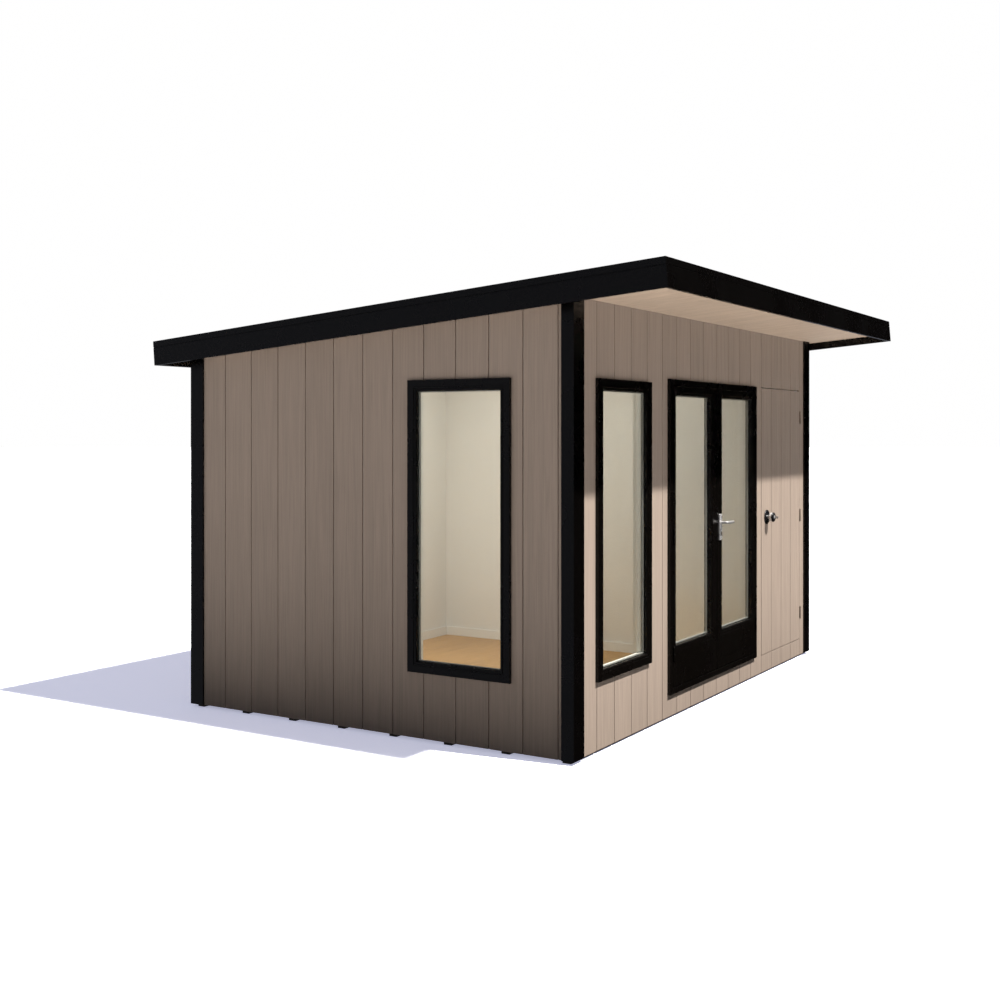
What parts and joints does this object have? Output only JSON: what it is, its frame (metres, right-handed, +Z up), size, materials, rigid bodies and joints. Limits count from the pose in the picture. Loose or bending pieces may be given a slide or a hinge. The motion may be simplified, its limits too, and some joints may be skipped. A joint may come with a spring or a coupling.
{
  "type": "garden office pod",
  "caption": "Clad garden office cabin with a single-slope roof, deep front overhang, tall windows, glazed double doors and a concealed store door.",
  "frame": {"origin": "on the ground, under the middle of the roof's plan", "axes": "+Z up, the front with the doors faces -Y, +X runs along the front to the right, the longest side"},
  "size_m": [4.072, 3.3958, 2.5],
  "materials": {
    "cladding": "taupe boards, matt, with a fine embossed grain",
    "black_trim": "satin black trim",
    "black_frame": "satin black joinery",
    "lining": "matt off-white lined wall panels",
    "white_paint": "satin white paint",
    "timber": "sawn softwood and board",
    "oak_floor": "satin oak floor boards",
    "roof_membrane": "matt rubber roof sheet",
    "soffit_boards": "pale matt soffit boards",
    "glazing": "clear double glazing",
    "satin_steel": "satin chrome",
    "black_lock": "gloss black"
  },
  "bodies": {
    "cabin": {"front_left_trim": "black_trim", "front_right_trim": "black_trim", "back_left_trim": "black_trim", "back_right_trim": "black_trim", "front_fascia": "black_trim", "back_fascia": "black_trim", "left_fascia": "black_trim", "right_fascia": "black_trim", "side_window_frame": "black_frame", "front_window_frame": "black_frame", "door_frame": "black_frame", "door_stops": "black_frame", "left_cladding": "cladding", "back_cladding": "cladding", "right_cladding": "cladding", "front_cladding": "cladding", "left_wall": "lining", "back_wall": "lining", "right_wall": "lining", "partition_wall": "lining", "front_wall_left": "lining", "front_wall_sill": "lining", "front_wall_head": "lining", "front_wall_middle": "lining", "front_wall_right": "lining", "floor_bearers": "timber", "floor_deck": "timber", "office_floor": "oak_floor", "store_floor": "timber", "skirting": "white_paint", "roof_panel": "timber", "roof_covering": "roof_membrane", "ceiling": "white_paint", "soffit": "soffit_boards", "side_window_glass": "glazing", "front_window_glass": "glazing", "store_door_frame": "timber", "fixed_hinges": "black_frame"},
    "left_leaf": {"left_door": "black_frame", "left_door_glass": "glazing"},
    "right_leaf": {"right_door": "black_frame", "right_door_glass": "glazing", "handle_plates": "satin_steel"},
    "lever": {"door_lever": "satin_steel"},
    "store_leaf": {"store_door": "timber", "store_door_cladding": "cladding", "store_lock_plates": "black_lock"},
    "knob": {"store_knob": "satin_steel"}
  },
  "joints": [
    {"name": "left_leaf_hinge", "type": "hinge", "parent": "cabin", "child": "left_leaf", "pos_m": [-0.6795, -1.14007, 0], "axis": [0, 0, -1], "range_deg": [0, 110]},
    {"name": "right_leaf_hinge", "type": "hinge", "parent": "cabin", "child": "right_leaf", "pos_m": [0.6915, -1.14007, 0], "axis": [0, 0, 1], "range_deg": [0, 110]},
    {"name": "lever_turn", "type": "hinge", "parent": "right_leaf", "child": "lever", "pos_m": [0.0535, -1.18207, 1.104], "axis": [0, 1, 0], "range_deg": [0, 40], "stiffness_Nm_per_rad": 1.2, "springref_deg": -34.38},
    {"name": "store_leaf_hinge", "type": "hinge", "parent": "cabin", "child": "store_leaf", "pos_m": [1.695, -1.12107, 0], "axis": [0, 0, 1], "range_deg": [0, 110]},
    {"name": "knob_turn", "type": "hinge", "parent": "store_leaf", "child": "knob", "pos_m": [0.975, -1.14307, 1.085], "axis": [0, 1, 0], "range_deg": [-45, 45], "stiffness_Nm_per_rad": 0.3}
  ]
}
